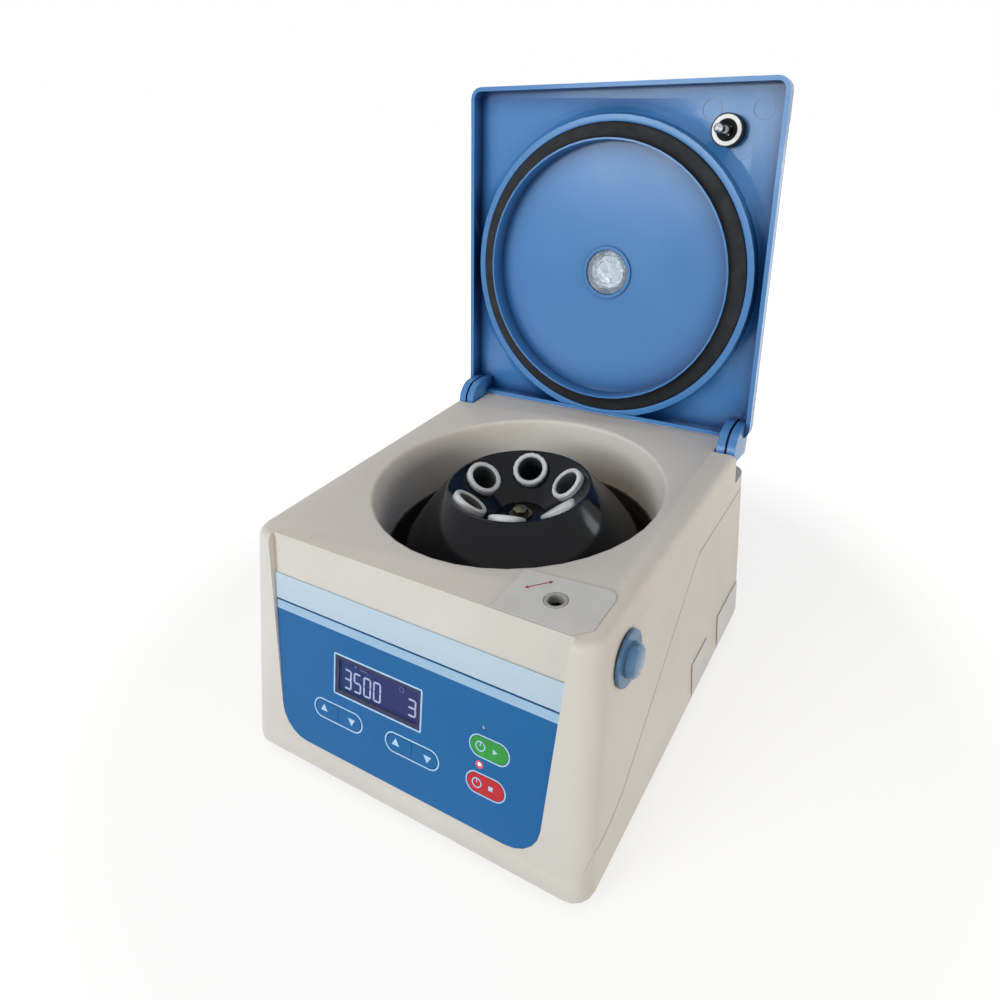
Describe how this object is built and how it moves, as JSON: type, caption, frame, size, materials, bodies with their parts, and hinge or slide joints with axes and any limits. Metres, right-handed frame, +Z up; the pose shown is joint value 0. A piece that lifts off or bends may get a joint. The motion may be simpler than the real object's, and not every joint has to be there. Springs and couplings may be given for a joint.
{
  "type": "platelet-rich plasma centrifuge",
  "caption": "Bench centrifuge with a lid on rear hinges, a conical angled rotor with tube sleeves, a sloped keypad panel with a display, and a side release button.",
  "frame": {"origin": "centre of the overall box at the underside of the feet, with the lid open", "axes": "+Z up, -Y towards the keypad panel, +X towards the side with the release button"},
  "size_m": [0.2634, 0.3364, 0.4164],
  "materials": {
    "ivory_plastic": "satin",
    "white_plastic": "smooth",
    "pale_blue_print": "printed film",
    "blue_film": "fine matt film",
    "green_key": "fine matt film",
    "red_key": "fine matt film",
    "lamp_red": "lit lens",
    "lamp_blue": "unlit lens",
    "clear_window": "clear",
    "display_dark": "dark filter",
    "grey_plate": "printed film",
    "blue_lid": "satin",
    "blue_button": "polished",
    "black_rubber": "matt",
    "black_gloss": "polished",
    "black_paint": "satin paint",
    "sleeve_grey": "satin",
    "bright_steel": "turned",
    "dark_steel": "plated",
    "cast_aluminium": "cast",
    "nut_brass": "turned",
    "board_green": "lacquered board"
  },
  "bodies": {
    "case": {"upper_housing": "ivory_plastic", "base_shell": "ivory_plastic", "deck_plate": "grey_plate", "striker_bush": "white_plastic", "side_plate_rear": "grey_plate", "side_plate_front": "grey_plate", "foot_1": "black_rubber", "foot_2": "black_rubber", "foot_3": "black_rubber", "foot_4": "black_rubber", "header_strip": "pale_blue_print", "keypad_overlay": "blue_film", "lamp_run": "lamp_red", "lamp_ready": "lamp_blue", "display_window": "clear_window", "display_module": "display_dark", "panel_board": "board_green", "release_bezel": "blue_button", "button_spring": "bright_steel", "latch_bracket": "dark_steel", "lid_switch": "black_gloss", "hinge_pin_left": "bright_steel", "hinge_pin_right": "bright_steel", "chamber_bowl": "black_paint", "motor_can": "dark_steel", "motor_end_bell": "cast_aluminium", "bearing_upper": "bright_steel", "bearing_lower": "bright_steel", "motor_plate": "bright_steel", "damper_1": "black_rubber", "damper_2": "black_rubber", "damper_3": "black_rubber", "main_board": "board_green", "transformer": "dark_steel", "power_entry": "black_gloss"},
    "lid": {"lid_shell": "blue_lid", "lid_gasket": "black_rubber", "sight_window": "clear_window", "striker_pin": "bright_steel", "striker_cup": "black_rubber", "striker_ring": "white_plastic"},
    "rotor": {"rotor_body": "black_gloss", "tube_sleeve_1": "sleeve_grey", "tube_sleeve_2": "sleeve_grey", "tube_sleeve_3": "sleeve_grey", "tube_sleeve_4": "sleeve_grey", "tube_sleeve_5": "sleeve_grey", "tube_sleeve_6": "sleeve_grey", "rotor_washer": "bright_steel", "rotor_nut": "nut_brass", "motor_shaft": "bright_steel"},
    "button": {"release_button": "blue_button"},
    "pawl": {"latch_pawl": "bright_steel"},
    "rocker": {"power_rocker": "black_gloss"},
    "key_speed_up": {"key_speed_up": "blue_film"},
    "key_speed_down": {"key_speed_down": "blue_film"},
    "key_time_up": {"key_time_up": "blue_film"},
    "key_time_down": {"key_time_down": "blue_film"},
    "key_start": {"key_start": "green_key"},
    "key_stop": {"key_stop": "red_key"}
  },
  "joints": [
    {"name": "lid_hinge", "type": "hinge", "parent": "case", "child": "lid", "pos_m": [-0.00221, 0.11344, 0.1603], "axis": [1, 0, 0], "range_deg": [0, 97.8]},
    {"name": "rotor_spin", "type": "hinge", "parent": "case", "child": "rotor", "pos_m": [-0.00221, -0.00706, 0.107], "axis": [0, 0, 1], "continuous": true},
    {"name": "button_press", "type": "slide", "parent": "case", "child": "button", "axis": [-1, 0, 0], "range_m": [0, 0.005], "stiffness_N_per_m": 500, "springref_m": -0.003, "deforming": ["button_spring"]},
    {"name": "pawl_swing", "type": "hinge", "parent": "case", "child": "pawl", "pos_m": [0.09479, -0.09706, 0.154], "axis": [0, 0, -1], "range_deg": [-20, 0]},
    {"name": "rocker_tilt", "type": "hinge", "parent": "case", "child": "rocker", "pos_m": [0.07679, 0.12324, 0.043], "axis": [-1, 0, 0], "range_deg": [0, 24]},
    {"name": "press_speed_up", "type": "slide", "parent": "case", "child": "key_speed_up", "axis": [0, 0.9748, -0.2232], "range_m": [0, 0.0004], "stiffness_N_per_m": 400, "springref_m": -0.0005},
    {"name": "press_speed_down", "type": "slide", "parent": "case", "child": "key_speed_down", "axis": [0, 0.9748, -0.2232], "range_m": [0, 0.0004], "stiffness_N_per_m": 400, "springref_m": -0.0005},
    {"name": "press_time_up", "type": "slide", "parent": "case", "child": "key_time_up", "axis": [0, 0.9748, -0.2232], "range_m": [0, 0.0004], "stiffness_N_per_m": 400, "springref_m": -0.0005},
    {"name": "press_time_down", "type": "slide", "parent": "case", "child": "key_time_down", "axis": [0, 0.9748, -0.2232], "range_m": [0, 0.0004], "stiffness_N_per_m": 400, "springref_m": -0.0005},
    {"name": "press_start", "type": "slide", "parent": "case", "child": "key_start", "axis": [0, 0.9748, -0.2232], "range_m": [0, 0.0004], "stiffness_N_per_m": 400, "springref_m": -0.0005},
    {"name": "press_stop", "type": "slide", "parent": "case", "child": "key_stop", "axis": [0, 0.9748, -0.2232], "range_m": [0, 0.0004], "stiffness_N_per_m": 400, "springref_m": -0.0005}
  ]
}
